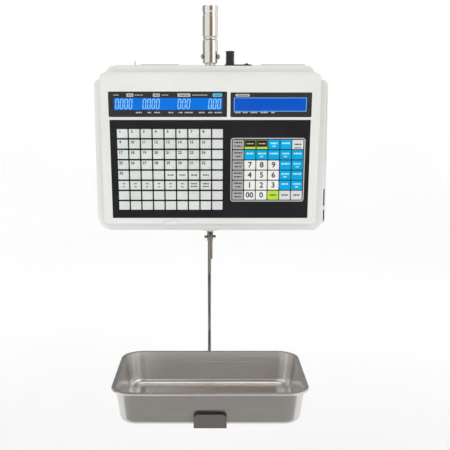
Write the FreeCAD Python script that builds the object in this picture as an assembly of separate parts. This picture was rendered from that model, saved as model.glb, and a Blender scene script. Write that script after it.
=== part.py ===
import FreeCAD, Part

import math
import os

os.makedirs("parts", exist_ok=True)

V = FreeCAD.Vector
X_AXIS = V(1, 0, 0)
Y_AXIS = V(0, 1, 0)
Z_AXIS = V(0, 0, 1)

# A hanging price scale. X points right, Y points back and Z points up.
# The origin is the centre of the hanger tube's top mouth. All sizes are in millimetres.

# Hanger tube and the yoke that swings in its lower end
tube_r = 14.1
tube_bore_r = 10.5
tube_length = 104.7
yoke_bore_r = 12.0
yoke_bore_top = -80.0
bolt_z = -92.2
bolt_r = 3.0
bolt_head_r = 5.6
bolt_head_height = 3.6
slot_half_height = 9.3
yoke_eye_r = 8.8
yoke_eye_top = -84.5
yoke_collar_r = 10.2
yoke_collar_top = -107.0
yoke_collar_bottom = -114.0
shaft_r = 6.0
shaft_bottom = -150.0
running_gap = 0.05

# Head: the front face leans back at its foot by face_tilt degrees
face_tilt = 7.0
face_y = -85.0
face_z = -209.2
cover_half_width = 196.5
cover_top = -125.0
cover_bottom = -402.6
cover_wall = 3.2
cover_side_wall = 2.6
cover_edge_r = 7.0
parting_y = -50.0
shell_wall = 2.6
wing_right = 216.0
wing_left_top = 212.5
wing_left_foot = 210.0
wing_top = -136.0
body_bottom = -413.5
body_back = 75.0
crown_half_width = 183.0
crown_foot_half_width = 193.5
crown_top = -111.3
crown_back = 66.0
ridge_front = 16.0
ridge_top = -106.3
wing_corner_r = 10.0
foot_corner_r = 28.0
foot_chamfer = 18.0
shell_edge_r = 8.0

# Windows and keyboard, measured on the front face: x across, s down from the keyboard's top edge
weight_window = (-180.5, 30.1, -50.9, -5.9)
alpha_window = (36.0, 180.3, -49.4, -5.6)
weight_glass = (-172.0, 24.0, -42.0, -16.0)
alpha_glass = (40.5, 172.5, -41.5, -14.5)
window_corner_r = 2.0
window_thickness = 2.4
keyboard_half_width = 179.5
keyboard_top = -0.9
keyboard_bottom = 180.3
overlay_front = 0.2
overlay_back = 1.0
key_height = 0.5
sheet_left = -172.0
sheet_right = 27.0
sheet_top = 6.0
sheet_bottom = 185.5
sheet_pocket_depth = 0.8
sheet_thickness = 0.4
speed_columns = 9
speed_rows = 8
speed_x = -166.8
speed_s = 15.6
speed_pitch_x = 21.34
speed_pitch_s = 18.97
speed_key = (18.9, 16.0)
pad_columns = 6
pad_rows = 6
pad_x = 40.6
pad_s = 35.0
pad_pitch_x = 21.44
pad_pitch_s = 18.7
pad_key = (19.9, 16.9)
scoop_x = -70.5
scoop_s = 188.7
scoop_half_width = 20.2
scoop_half_height = 6.7
scoop_half_thickness = 4.0
scoop_depth = 2.2

# Cord outlet on the head's top
outlet_x = 37.3
outlet_r = 8.1
outlet_bore_r = 4.0
outlet_top = -82.3
outlet_flange_top = -107.3
outlet_flange = (27.0, 78.0)
outlet_half_depth = 12.0
outlet_screw_x = 68.5

# Load path inside the head
plate_top = -124.0
plate_thickness = 4.0
back_plate_front = 48.0
back_plate_thickness = 1.6
back_plate_top = -140.0
cell_top = -352.0
cell_height = 25.0
cell_left = -110.0
cell_right = 16.0
cell_half_depth = 15.0
bracket_bottom = -383.0

# Hook pin, rod, arm and tray
hook_turn = 13.0
fork_r = 5.9
fork_bottom = -441.0
fork_slot_top = -422.8
fork_slot_half = 3.6
pin_z = -433.4
pin_r = 2.5
pin_half_length = 11.2
boss_r = 21.5
boss_bottom = -419.5
rod_r = 3.25
hook_bend_r = 6.45
hook_drop = 0.4
return_leg_bottom = -479.0
rod_bend_z = -515.0
rod_slope_bottom = -662.0
tray_y = -5.0
rod_back_y = 139.0
arm_top = -770.0
arm_thickness = 2.5
arm_half_width = 30.5
arm_bend_r = 5.0
lip_top = -744.5
lip_corner_r = 9.0
pad_top = -741.5
pad_thickness = 4.0
tray_rim_z = -703.0
tray_bottom = -770.0
tray_half_width = 186.0
tray_half_depth = 126.5
tray_rim_r = 45.0
tray_flange = 8.0
tray_draft = 9.0
tray_rim_drop = 3.4
tray_wall = 1.0
tray_foot_r = 12.0

# Label printer in the head's lower right
label_slot_outer = 212.8
label_slot_width = 2.6
label_slots = [(-336.0, -367.0), (-375.0, -396.0)]
door_top = -150.0
door_bottom = -397.0
door_gap = 0.5
hinge_x = 213.2
hinge_y = 55.2
hinge_barrel_r = 3.2
hinge_pin_r = 1.5
printer_top = -332.0
printer_bottom = -398.5
printer_sheet = 2.0
printer_left = 80.0
printer_right = 206.0
roll_x = 128.0
roll_y = 2.0
roll_r = 41.0
core_r = 12.8
roll_half_height = 29.0
roll_mid = -366.5
platen_x = 190.0
platen_y = -28.0
platen_r = 7.0
gear_module = 0.8
platen_teeth = 28
pinion_teeth = 14
gear_top = -324.5
gear_thickness = 4.5
spool_x = 188.0
spool_y = 22.0
lever_x = 203.0
lever_y = -9.0


def save(node, shape):
    """Write one sub-part."""
    if not shape.isValid():
        print("invalid shape:", node)
    shape.exportStep("parts/" + node + ".step")


def box(x0, x1, y0, y1, z0, z1):
    """A box between two corners, given in any order."""
    low = V(min(x0, x1), min(y0, y1), min(z0, z1))
    return Part.makeBox(abs(x1 - x0), abs(y1 - y0), abs(z1 - z0), low)


def upright(radius, x, y, z0, z1):
    """A vertical cylinder."""
    return Part.makeCylinder(radius, abs(z1 - z0), V(x, y, min(z0, z1)), Z_AXIS)


def ring(outer, inner, x, y, z0, z1):
    """A vertical tube."""
    return upright(outer, x, y, z0, z1).cut(upright(inner, x, y, z0, z1))


def compound(shapes):
    """Several separate solids in one sub-part."""
    return Part.makeCompound(shapes)


def rounded_wire(corners, lift):
    """A closed outline. Each corner is (a, b, radius), and lift turns (a, b) into a point."""
    edges = []
    starts = []
    ends = []
    count = len(corners)
    for index, (a, b, radius) in enumerate(corners):
        here = V(a, b, 0)
        back = V(corners[index - 1][0], corners[index - 1][1], 0).sub(here).normalize()
        ahead_corner = corners[(index + 1) % count]
        ahead = V(ahead_corner[0], ahead_corner[1], 0).sub(here).normalize()
        if radius <= 0:
            starts.append(here)
            ends.append(here)
            continue
        half = back.getAngle(ahead) / 2
        reach = radius / math.tan(half)
        start = here.add(V(back).multiply(reach))
        end = here.add(V(ahead).multiply(reach))
        inward = back.add(ahead).normalize()
        middle = here.add(inward.multiply(radius / math.sin(half) - radius))
        arc = Part.Arc(lift(start.x, start.y), lift(middle.x, middle.y), lift(end.x, end.y))
        edges.append((index, arc.toShape()))
        starts.append(start)
        ends.append(end)
    arcs = dict(edges)
    outline = []
    for index in range(count):
        if index in arcs:
            outline.append(arcs[index])
        following = (index + 1) % count
        leave = ends[index]
        arrive = starts[following]
        if leave.distanceToPoint(arrive) > 1e-6:
            segment = Part.LineSegment(lift(leave.x, leave.y), lift(arrive.x, arrive.y))
            outline.append(segment.toShape())
    return Part.Wire(outline)


def front_prism(corners, y0, y1):
    """An outline in X and Z, extruded along Y."""
    wire = rounded_wire(corners, lambda a, b: V(a, y0, b))
    return Part.Face(wire).extrude(V(0, y1 - y0, 0))


def plan_prism(corners, z0, z1):
    """An outline in X and Y, extruded along Z."""
    wire = rounded_wire(corners, lambda a, b: V(a, b, z0))
    return Part.Face(wire).extrude(V(0, 0, z1 - z0))


def side_prism(corners, x0, x1):
    """An outline in Y and Z, extruded along X."""
    wire = rounded_wire(corners, lambda a, b: V(x0, a, b))
    return Part.Face(wire).extrude(V(x1 - x0, 0, 0))


def rectangle(x0, x1, z0, z1, radius):
    """The corners of a rounded rectangle."""
    return [(x0, z0, radius), (x1, z0, radius), (x1, z1, radius), (x0, z1, radius)]


def edges_at_y(shape, y, tolerance=1e-4):
    """The edges that lie in the plane of one Y."""
    found = []
    for edge in shape.Edges:
        limits = edge.BoundBox
        if abs(limits.YMin - y) < tolerance and abs(limits.YMax - y) < tolerance:
            found.append(edge)
    return found


def on_face(shape):
    """Lay a shape on the head's front face: its Y = 0 plane becomes the face, Z = -s runs down it."""
    placed = shape.copy()
    placed.Placement = FreeCAD.Placement(V(0, face_y, face_z), FreeCAD.Rotation(X_AXIS, face_tilt))
    return placed


def face_slab(limits, y0, y1, radius=0.0):
    """A rounded slab on the front face, from depth y0 to depth y1 behind it."""
    left, right, top, bottom = limits
    return on_face(front_prism(rectangle(left, right, -bottom, -top, radius), y0, y1))


def gear_wire(teeth, phase, z):
    """A spur gear's outline with involute flanks and a little backlash."""
    pitch_r = gear_module * teeth / 2
    base_r = pitch_r * math.cos(math.radians(20))
    tip_r = pitch_r + 0.8 * gear_module
    root_r = pitch_r - 1.1 * gear_module
    backlash = 0.08 / pitch_r
    flank_steps = 5

    def involute(radius):
        roll = math.sqrt(max(radius * radius / (base_r * base_r) - 1, 0))
        return roll - math.atan(roll)

    half_tooth = math.pi / (2 * teeth) - backlash + involute(pitch_r)
    points = []
    for tooth in range(teeth):
        centre = phase + 2 * math.pi * tooth / teeth
        flank = []
        for step in range(flank_steps):
            start_r = max(base_r, root_r)
            radius = start_r + (tip_r - start_r) * step / (flank_steps - 1)
            flank.append((radius, half_tooth - involute(radius)))
        flank.insert(0, (root_r, half_tooth - involute(max(base_r, root_r))))
        for radius, angle in flank:
            points.append(V(radius * math.cos(centre - angle), radius * math.sin(centre - angle), z))
        for radius, angle in reversed(flank):
            points.append(V(radius * math.cos(centre + angle), radius * math.sin(centre + angle), z))
    return Part.makePolygon(points + [points[0]])


def gear(teeth, phase, x, y, z0, z1, bore_r):
    """A spur gear on a vertical axis."""
    blank = Part.Face(gear_wire(teeth, phase, z0)).extrude(V(0, 0, z1 - z0))
    blank.translate(V(x, y, 0))
    return blank.cut(upright(bore_r, x, y, z0, z1))


def dome_head(x, direction, radius, height):
    """A domed bolt head standing along X from x."""
    dome_r = (radius * radius + height * height) / (2 * height)
    ball = Part.makeSphere(dome_r, V(x + direction * (height - dome_r), 0, bolt_z))
    keep = Part.makeCylinder(radius, height, V(x, 0, bolt_z), V(direction, 0, 0))
    return ball.common(keep)


# Hanger

def make_hanger_tube():
    """Round post with a soft waist, a turned groove, and a clamping slot at each side of its foot."""
    profile = Part.Wire([
        Part.LineSegment(V(tube_bore_r, 0, 0), V(tube_r - 0.8, 0, 0)).toShape(),
        Part.LineSegment(V(tube_r - 0.8, 0, 0), V(tube_r, 0, -0.8)).toShape(),
        Part.LineSegment(V(tube_r, 0, -0.8), V(tube_r, 0, -10)).toShape(),
        Part.Arc(V(tube_r, 0, -10), V(tube_r - 0.7, 0, -14.7), V(tube_r, 0, -19.4)).toShape(),
        Part.LineSegment(V(tube_r, 0, -19.4), V(tube_r, 0, -55.7)).toShape(),
        Part.Arc(V(tube_r, 0, -55.7), V(tube_r - 1.4, 0, -59.3), V(tube_r, 0, -63)).toShape(),
        Part.LineSegment(V(tube_r, 0, -63), V(tube_r, 0, 1.2 - tube_length)).toShape(),
        Part.LineSegment(V(tube_r, 0, 1.2 - tube_length), V(tube_r - 1, 0, -tube_length)).toShape(),
        Part.LineSegment(V(tube_r - 1, 0, -tube_length), V(yoke_bore_r, 0, -tube_length)).toShape(),
        Part.LineSegment(V(yoke_bore_r, 0, -tube_length), V(yoke_bore_r, 0, yoke_bore_top)).toShape(),
        Part.LineSegment(V(yoke_bore_r, 0, yoke_bore_top), V(tube_bore_r, 0, yoke_bore_top)).toShape(),
        Part.LineSegment(V(tube_bore_r, 0, yoke_bore_top), V(tube_bore_r, 0, 0)).toShape(),
    ])
    tube = Part.Face(profile).revolve(V(0, 0, 0), Z_AXIS, 360)
    slot_half = bolt_r + 0.1
    slot = side_prism(
        rectangle(-slot_half, slot_half, bolt_z - slot_half_height, bolt_z + slot_half_height, 3.0),
        -tube_r - 1, tube_r + 1)
    return tube.cut(slot)


def make_hanger_bolt():
    """Cross bolt with a domed head on the left."""
    head_x = -tube_r - 0.1
    shank_length = 2 * tube_r + bolt_head_height - 0.8
    shank = Part.makeCylinder(bolt_r, shank_length, V(head_x, 0, bolt_z), X_AXIS)
    return shank.fuse(dome_head(head_x, -1, bolt_head_r, bolt_head_height)).removeSplitter()


def make_hanger_nut():
    """Domed nut on the right end of the cross bolt."""
    nut = dome_head(tube_r + 0.1, 1, bolt_head_r, bolt_head_height + 0.6)
    socket_length = bolt_head_height - 1.0
    return nut.cut(Part.makeCylinder(bolt_r, socket_length, V(tube_r + 0.1, 0, bolt_z), X_AXIS))


save("hanger_tube", make_hanger_tube())
save("hanger_bolt", make_hanger_bolt())
save("hanger_nut", make_hanger_nut())


# Yoke: the eye hangs on the cross bolt, and the head turns on its shaft

def make_swivel_stub():
    """Eye, collar and shaft in one turned piece."""
    eye = upright(yoke_eye_r, 0, 0, yoke_eye_top, yoke_collar_top)
    eye = eye.makeChamfer(1.5, [edge for edge in eye.Edges if abs(edge.BoundBox.ZMin - yoke_eye_top) < 0.001])
    collar = upright(yoke_collar_r, 0, 0, yoke_collar_top, yoke_collar_bottom)
    shaft = upright(shaft_r, 0, 0, yoke_collar_bottom, shaft_bottom)
    stub = eye.fuse([collar, shaft])
    eye_bore = Part.makeCylinder(bolt_r + running_gap, 4 * yoke_eye_r, V(-2 * yoke_eye_r, 0, bolt_z), X_AXIS)
    return stub.cut(eye_bore).removeSplitter()


washer_top = plate_top - plate_thickness - 1.5
washer_thickness = 2.0
nut_height = 9.0

def make_swivel_nut():
    """Hexagon nut that carries the head's weight on the yoke's shaft."""
    across = 10.0
    corners = []
    for index in range(6):
        angle = math.radians(60 * index)
        corners.append((across * math.cos(angle), across * math.sin(angle), 0))
    nut_top = washer_top - washer_thickness
    return plan_prism(corners, nut_top - nut_height, nut_top).cut(
        upright(shaft_r, 0, 0, nut_top - nut_height, nut_top))


save("swivel_stub", make_swivel_stub())
save("swivel_nut", make_swivel_nut())
save("thrust_washer", ring(12.0, shaft_r, 0, 0, washer_top, washer_top - washer_thickness))


# Head frame and load path

def screw_places():
    """Where the six cover screws sit, as X and Z."""
    return [(x, z) for x in (-192.0, 192.0) for z in (-158.0, -262.0, -370.0)]


screw_r = 2.0
screw_head_r = 4.2

def make_chassis():
    """Folded steel frame: a top plate, a back plate and a shelf for the load cell."""
    top = box(-90, 90, -40, back_plate_front, plate_top, plate_top - plate_thickness)
    back = box(-201, 196, back_plate_front, back_plate_front + back_plate_thickness, back_plate_top, -398)
    for left, right in ((-70, -12), (12, 70)):
        back = back.cut(box(left, right, back_plate_front - 1, back_plate_front + 5, -330, -230))
    crown = box(-90, 90, back_plate_front, back_plate_front + back_plate_thickness, plate_top, back_plate_top)
    shelf = box(cell_left - 6, -62, -20, back_plate_front, cell_top, cell_top + 5)
    gussets = []
    for x in (-90, 88):
        corners = [(-36, plate_top - plate_thickness, 0), (back_plate_front, plate_top - plate_thickness, 0),
                   (back_plate_front, -205, 0)]
        gussets.append(side_prism(corners, x, x + 2))
    frame = top.fuse([back, crown, shelf] + gussets)
    frame = frame.cut(upright(9.0, 0, 0, plate_top + 1, plate_top - plate_thickness - 1))
    for x, z in screw_places():
        hole = Part.makeCylinder(screw_r, 10, V(x, back_plate_front - 2, z), Y_AXIS)
        frame = frame.cut(hole)
    for x in (-100.0, -78.0):
        frame = frame.cut(upright(3.0, x, 0, cell_top - 1, cell_top + 6))
    return frame.removeSplitter()


def make_swivel_bush():
    """Flanged bronze bush in the top plate."""
    sleeve = upright(9.0, 0, 0, plate_top, plate_top - plate_thickness)
    flange = upright(13.0, 0, 0, plate_top - plate_thickness, washer_top)
    return sleeve.fuse(flange).cut(upright(shaft_r + running_gap, 0, 0, plate_top + 1, washer_top - 1))


def make_load_cell():
    """Single point bar cell with its double strain cavity."""
    cell = box(cell_left, cell_right, -cell_half_depth, cell_half_depth, cell_top, cell_top - cell_height)
    middle = cell_top - cell_height / 2
    for x in (-56.0, -36.0):
        cell = cell.cut(Part.makeCylinder(8.5, 40, V(x, -20, middle), Y_AXIS))
    cell = cell.cut(box(-56, -36, -20, 20, middle - 3, middle + 3))
    for x in (-100.0, -78.0):
        cell = cell.cut(upright(3.0, x, 0, cell_top + 1, cell_top - 18))
    return cell.cut(upright(4.0, 0, 0, cell_top + 1, cell_top - cell_height - 1)).removeSplitter()


def make_load_cell_bolts():
    """Two socket screws that hold the cell's fixed end under the shelf."""
    bolts = []
    for x in (-100.0, -78.0):
        shank = upright(3.0, x, 0, cell_top + 5, cell_top - 16)
        head = upright(5.0, x, 0, cell_top + 5, cell_top + 11)
        bolts.append(head.fuse(shank).cut(upright(2.5, x, 0, cell_top + 8, cell_top + 12)).removeSplitter())
    return compound(bolts)


def make_load_bracket():
    """Block under the cell's free end, with the hook's thread in it."""
    block = box(-13, cell_right, -cell_half_depth, cell_half_depth, cell_top - cell_height, bracket_bottom)
    return block.cut(upright(4.0, 0, 0, cell_top - cell_height + 1, bracket_bottom - 1))


def turned(shape):
    """Turn a piece of the hook about the vertical by the angle the hook is screwed in at."""
    result = shape.copy()
    result.rotate(V(0, 0, 0), Z_AXIS, hook_turn)
    return result


def make_hook_fork():
    """Stud whose slotted lower end carries the hook pin."""
    stud = upright(4.0, 0, 0, cell_top - 4, bracket_bottom)
    stem = upright(fork_r, 0, 0, bracket_bottom, fork_bottom)
    slot = box(-fork_slot_half, fork_slot_half, -fork_r - 1, fork_r + 1, fork_slot_top, fork_bottom - 1)
    hole = Part.makeCylinder(pin_r, 4 * fork_r, V(-2 * fork_r, 0, pin_z), X_AXIS)
    return turned(stud.fuse(stem).cut(slot).cut(hole).removeSplitter())


def make_hook_pin():
    """Cross pin through the fork."""
    pin = Part.makeCylinder(pin_r, 2 * pin_half_length, V(-pin_half_length, 0, pin_z), X_AXIS)
    ends = [edge for edge in pin.Edges if edge.Closed]
    return turned(pin.makeChamfer(0.6, ends))


def make_underside_boss():
    """Raised collar around the hook's hole in the head's underside."""
    collar = upright(boss_r, 0, 0, body_bottom, boss_bottom)
    rim = [edge for edge in collar.Edges if abs(edge.BoundBox.ZMax - boss_bottom) < 0.001]
    collar = collar.makeFillet(2.0, rim)
    return collar.cut(upright(8.0, 0, 0, body_bottom + 1, boss_bottom - 1))


save("chassis", make_chassis())
save("swivel_bush", make_swivel_bush())
save("load_cell", make_load_cell())
save("load_cell_bolts", make_load_cell_bolts())
save("load_bracket", make_load_bracket())
save("hook_fork", make_hook_fork())
save("hook_pin", make_hook_pin())
save("underside_boss", make_underside_boss())


# Front cover

def tilted_half_space(depth):
    """Everything behind the front face, starting at a depth behind it."""
    return on_face(box(-400, 400, depth, 400, -400, 400))


def front_outline(inset):
    """The front cover's outline, brought in by a wall."""
    radius = 12.0 - inset
    return rectangle(-cover_half_width + inset, cover_half_width - inset,
                     cover_bottom + inset, cover_top - inset, radius)


def make_front_cover():
    """Moulded front with its window openings, keyboard recess, key sheet pocket and thumb scoop."""
    outer = front_prism(front_outline(0), -140, parting_y).common(tilted_half_space(0))
    rim = []
    for edge in outer.Edges:
        middle = edge.valueAt((edge.FirstParameter + edge.LastParameter) / 2)
        face_line = face_y + (face_z - middle.z) * math.tan(math.radians(face_tilt))
        if abs(middle.y - face_line) < 0.01:
            rim.append(edge)
    outer = outer.makeFillet(cover_edge_r, rim)
    inner = front_prism(front_outline(cover_side_wall), -140, parting_y + 1)
    cover = outer.cut(inner.common(tilted_half_space(cover_wall)))
    ledge = 3.0
    for limits in (weight_window, alpha_window):
        left, right, top, bottom = limits
        cover = cover.cut(face_slab(limits, -1, overlay_front + window_thickness, window_corner_r))
        through = (left + ledge, right - ledge, top + ledge, bottom - ledge)
        cover = cover.cut(face_slab(through, -1, cover_wall + 1, 1.0))
    keyboard = (-keyboard_half_width, keyboard_half_width, keyboard_top, keyboard_bottom)
    cover = cover.cut(face_slab(keyboard, -1, overlay_back))
    pocket = (sheet_left - 0.5, sheet_right + 0.5, sheet_top - 0.5, 230)
    cover = cover.cut(face_slab(pocket, overlay_back, overlay_back + sheet_pocket_depth))
    return cover.cut(on_face(thumb_scoop()))


def thumb_scoop():
    """Shallow oval dish below the keyboard where the lower edge of the key sheet is gripped."""
    dish = FreeCAD.Matrix()
    dish.scale(V(scoop_half_width, scoop_half_thickness, scoop_half_height))
    dish.move(V(scoop_x, scoop_depth - scoop_half_thickness, -scoop_s))
    return Part.makeSphere(1.0).transformGeometry(dish)


def make_speed_key_sheet():
    """Printed sheet under the overlay's key fields. It pulls out downwards."""
    middle = overlay_back + sheet_pocket_depth / 2
    limits = (sheet_left, sheet_right, sheet_top, sheet_bottom)
    return face_slab(limits, middle - sheet_thickness / 2, middle + sheet_thickness / 2, 1.5)


def key_grid(columns, rows, x, s, pitch_x, pitch_s, size, wanted):
    """Raised key fields on the overlay, for the cells that wanted() names."""
    keys = []
    for row in range(rows):
        for column in range(columns):
            if not wanted(column, row):
                continue
            left = x + column * pitch_x
            top = s + row * pitch_s
            limits = (left, left + size[0], top, top + size[1])
            keys.append(face_slab(limits, overlay_front - key_height, overlay_front, 1.0))
    return compound(keys)


def pad_keys(wanted):
    """Keys of the function pad."""
    return key_grid(pad_columns, pad_rows, pad_x, pad_s, pad_pitch_x, pad_pitch_s, pad_key, wanted)


def is_number_key(column, row):
    """Digit keys, with the double zero and zero in the lowest row."""
    if row == 5:
        return column in (1, 2)
    return row in (2, 3, 4) and column in (1, 2, 3)


save("front_cover", make_front_cover())
window_back = overlay_front + window_thickness
save("operator_window", face_slab(weight_window, overlay_front, window_back, window_corner_r))
save("alpha_window", face_slab(alpha_window, overlay_front, window_back, window_corner_r))
save("weight_lcd", face_slab(weight_glass, 6.0, 10.0))
save("alpha_lcd", face_slab(alpha_glass, 6.0, 10.0))
save("display_board", face_slab((-182, 182, -56, -3), 10.0, 11.6))
save("keyboard_panel", face_slab((-keyboard_half_width, keyboard_half_width, keyboard_top, keyboard_bottom),
                                 overlay_front, overlay_back))
save("keyboard_backplate", face_slab((-176, 176, 4, 177), cover_wall, cover_wall + 2.0, 3.0))
save("speed_key_sheet", make_speed_key_sheet())
save("speed_keys", key_grid(speed_columns, speed_rows, speed_x, speed_s, speed_pitch_x, speed_pitch_s,
                            speed_key, lambda column, row: True))
save("number_keys", pad_keys(is_number_key))
save("function_keys", pad_keys(lambda column, row: not is_number_key(column, row)))


# Rear cover

def wing_outline(inset):
    """The wide part of the rear cover. Its right foot is cut off at a slant."""
    side = wing_right - inset
    foot = body_bottom + inset
    slant = foot_chamfer - 0.41 * inset
    return [(inset - wing_left_top, wing_top - inset, wing_corner_r - inset),
            (side, wing_top - inset, wing_corner_r - inset),
            (side, foot + slant, 12.0), (side - slant, foot, 12.0),
            (inset - wing_left_foot, foot, foot_corner_r - inset)]


def crown_outline(inset, top):
    """The narrower part that stands up above the wings, with slanted ends."""
    side = crown_half_width - inset
    foot_side = crown_foot_half_width - inset
    radius = wing_corner_r - inset
    return [(-foot_side, -220.0, radius), (foot_side, -220.0, radius), (foot_side, -127.0, radius),
            (side, top - inset, radius), (-side, top - inset, radius), (-foot_side, -127.0, radius)]


def rear_body(inset):
    """The rear cover's outer or inner volume."""
    wings = front_prism(wing_outline(inset), parting_y + inset, body_back - inset)
    crown = front_prism(crown_outline(inset, crown_top), parting_y + inset, crown_back - inset)
    ridge = front_prism(crown_outline(inset, ridge_top), ridge_front + inset, crown_back - inset)
    edge_r = shell_edge_r - inset
    front = parting_y + inset
    wings = wings.makeFillet(edge_r, edges_at_y(wings, front) + edges_at_y(wings, body_back - inset))
    crown = crown.makeFillet(edge_r, edges_at_y(crown, front) + edges_at_y(crown, crown_back - inset))
    ridge = ridge.makeFillet(edge_r - 2.0, edges_at_y(ridge, ridge_front + inset))
    ridge = ridge.makeFillet(edge_r, edges_at_y(ridge, crown_back - inset))
    return wings.fuse([crown, ridge])


customer_window_limits = (-112.0, 112.0, -212.0, -160.0)
port_limits = (-165.0, -85.0, -388.0, -346.0)
switch_x = -52.0
switch_z = -367.0
switch_half = (7.0, 11.0)

def door_zone(gap):
    """The outer strip of the right side that belongs to the printer door."""
    return box(label_slot_outer - gap, wing_right + 5, parting_y - 5, hinge_y,
               door_top + gap, door_bottom - gap)


def lugs():
    """Blocks inside the rear cover that hold the hinge pins."""
    top = box(207, 215, 51, 59.5, door_top + door_gap, door_top + 11)
    bottom = box(207, 213.4, 51, 59.5, door_bottom - door_gap, door_bottom - 10)
    return [top, bottom]


def make_rear_cover():
    """Deep moulded shell with a crown, side wings, a printer doorway and openings at its back."""
    outer = rear_body(0)
    shell = outer.cut(rear_body(shell_wall))
    opening = box(-186, 186, parting_y - 1, parting_y + shell_wall + 1, -392, -128)
    shell = shell.cut(opening)
    for lug in lugs():
        shell = shell.fuse(lug.common(outer))
    shell = shell.cut(door_zone(door_gap))
    barrel_room = hinge_barrel_r + 0.4
    shell = shell.cut(box(hinge_x - barrel_room, wing_right + 5, hinge_y - barrel_room, hinge_y + barrel_room,
                          door_top + door_gap, door_bottom - door_gap))
    for top, bottom in label_slots:
        slot_inner = label_slot_outer - label_slot_width
        shell = shell.cut(box(slot_inner, label_slot_outer, parting_y - 1, parting_y + 6, top, bottom))
    for z0, z1 in ((-135, -175), (-372, -404)):
        shell = shell.cut(upright(hinge_pin_r, hinge_x, hinge_y, z0, z1))
    shell = shell.cut(upright(11.5, 0, 0, crown_top + 1, crown_top - 10))
    shell = shell.cut(upright(5.0, outlet_x, 0, crown_top + 1, crown_top - 10))
    shell = shell.cut(upright(1.8, outlet_screw_x, 0, crown_top + 1, crown_top - 10))
    shell = shell.cut(upright(12.0, 0, 0, body_bottom - 1, body_bottom + 10))
    left, right, low, high = customer_window_limits
    ledge = 3.0
    window = rectangle(left, right, low, high, 3.0)
    shell = shell.cut(front_prism(window, body_back - 2.0, body_back + 1))
    through = rectangle(left + ledge, right - ledge, low + ledge, high - ledge, 1.5)
    shell = shell.cut(front_prism(through, body_back - 6, body_back + 1))
    left, right, low, high = port_limits
    shell = shell.cut(box(left, right, body_back - 6, body_back + 1, low, high))
    shell = shell.cut(box(switch_x - switch_half[0], switch_x + switch_half[0], body_back - 6, body_back + 1,
                          switch_z - switch_half[1], switch_z + switch_half[1]))
    for x, z in screw_places():
        shell = shell.cut(Part.makeCylinder(screw_r + 0.2, 20, V(x, body_back - 10, z), Y_AXIS))
    vent_count = 9
    for index in range(vent_count):
        z = -250.0 - 9.0 * index
        shell = shell.cut(box(40, 150, body_back - 6, body_back + 1, z, z - 3.5))
    for left, right in vent_spans:
        shell = shell.cut(box(left + 3, right - 3, vent_front + 3, vent_back - 3,
                              ridge_top - 5, ridge_top + 1))
    return shell


vent_spans = [(-133.0, -59.0), (97.0, 181.0)]
vent_front = 26.0
vent_back = 50.0
vent_rise = 1.0

def make_top_vents():
    """Two slatted vent inserts on the crown."""
    inserts = []
    for left, right in vent_spans:
        insert = box(left, right, vent_front, vent_back, ridge_top, ridge_top + vent_rise)
        slats = 7
        pitch = (right - left - 6) / slats
        for index in range(slats):
            start = left + 3 + index * pitch
            insert = insert.cut(box(start + 1.5, start + pitch - 1.5, vent_front + 3, vent_back - 3,
                                    ridge_top - 1, ridge_top + vent_rise + 1))
        inserts.append(insert)
    return compound(inserts)


def make_cover_screws():
    """Six pan head screws through the rear cover into the chassis."""
    screws = []
    shank_length = body_back - back_plate_front
    for x, z in screw_places():
        shank = Part.makeCylinder(screw_r, shank_length, V(x, back_plate_front, z), Y_AXIS)
        head = Part.makeCylinder(screw_head_r, 2.2, V(x, body_back, z), Y_AXIS)
        slot_a = box(x - 3, x + 3, body_back + 1, body_back + 3, z - 0.5, z + 0.5)
        slot_b = box(x - 0.5, x + 0.5, body_back + 1, body_back + 3, z - 3, z + 3)
        screws.append(shank.fuse(head).cut(slot_a).cut(slot_b).removeSplitter())
    return compound(screws)


def make_customer_window():
    """Clear window over the customer's display."""
    left, right, low, high = customer_window_limits
    return front_prism(rectangle(left, right, low, high, 3.0), body_back - 2.0, body_back)


def make_port_panel():
    """Steel plate with the data and cash drawer sockets' openings."""
    left, right, low, high = port_limits
    plate = box(left - 5, right + 5, body_back - shell_wall - 1.5, body_back - shell_wall, low - 5, high + 5)
    for x in (-148.0, -125.0, -102.0):
        plate = plate.cut(box(x - 8, x + 8, 60, 80, switch_z - 7, switch_z + 7))
    return plate


def make_port_sockets():
    """Three modular sockets behind the port panel."""
    sockets = []
    for x in (-148.0, -125.0, -102.0):
        socket = box(x - 8, x + 8, 56, body_back - 1.0, switch_z - 7, switch_z + 7)
        sockets.append(socket.cut(box(x - 6, x + 6, 62, body_back, switch_z - 5, switch_z + 4)))
    return compound(sockets)


rocker_r = 9.0
rocker_y = body_back - 3.0

def make_power_rocker():
    """Rocker whose face is cut to two slopes."""
    half_x = switch_half[0] - 2.4
    body = Part.makeCylinder(rocker_r, 2 * half_x, V(switch_x - half_x, rocker_y, switch_z), X_AXIS)
    for side in (-1, 1):
        cutter = box(switch_x - 20, switch_x + 20, 4.6, 30, -30, 30)
        cutter.rotate(V(0, 0, 0), X_AXIS, 9 * side)
        cutter.translate(V(0, rocker_y, switch_z))
        body = body.cut(cutter)
    return body.cut(box(switch_x - 20, switch_x + 20, 0, rocker_y - 3.0, -400, -300)).removeSplitter()


def make_switch_bezel():
    """Snap-in frame of the power switch."""
    half_x, half_z = switch_half
    frame = box(switch_x - half_x, switch_x + half_x, body_back - 12, body_back,
                switch_z - half_z, switch_z + half_z)
    flange = box(switch_x - half_x - 1.5, switch_x + half_x + 1.5, body_back, body_back + 1.2,
                 switch_z - half_z - 1.5, switch_z + half_z + 1.5)
    room_start = V(switch_x - half_x + 2.1, rocker_y, switch_z)
    room = Part.makeCylinder(rocker_r + 0.3, 2 * half_x - 4.2, room_start, X_AXIS)
    return frame.fuse(flange).cut(room).removeSplitter()


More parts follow.
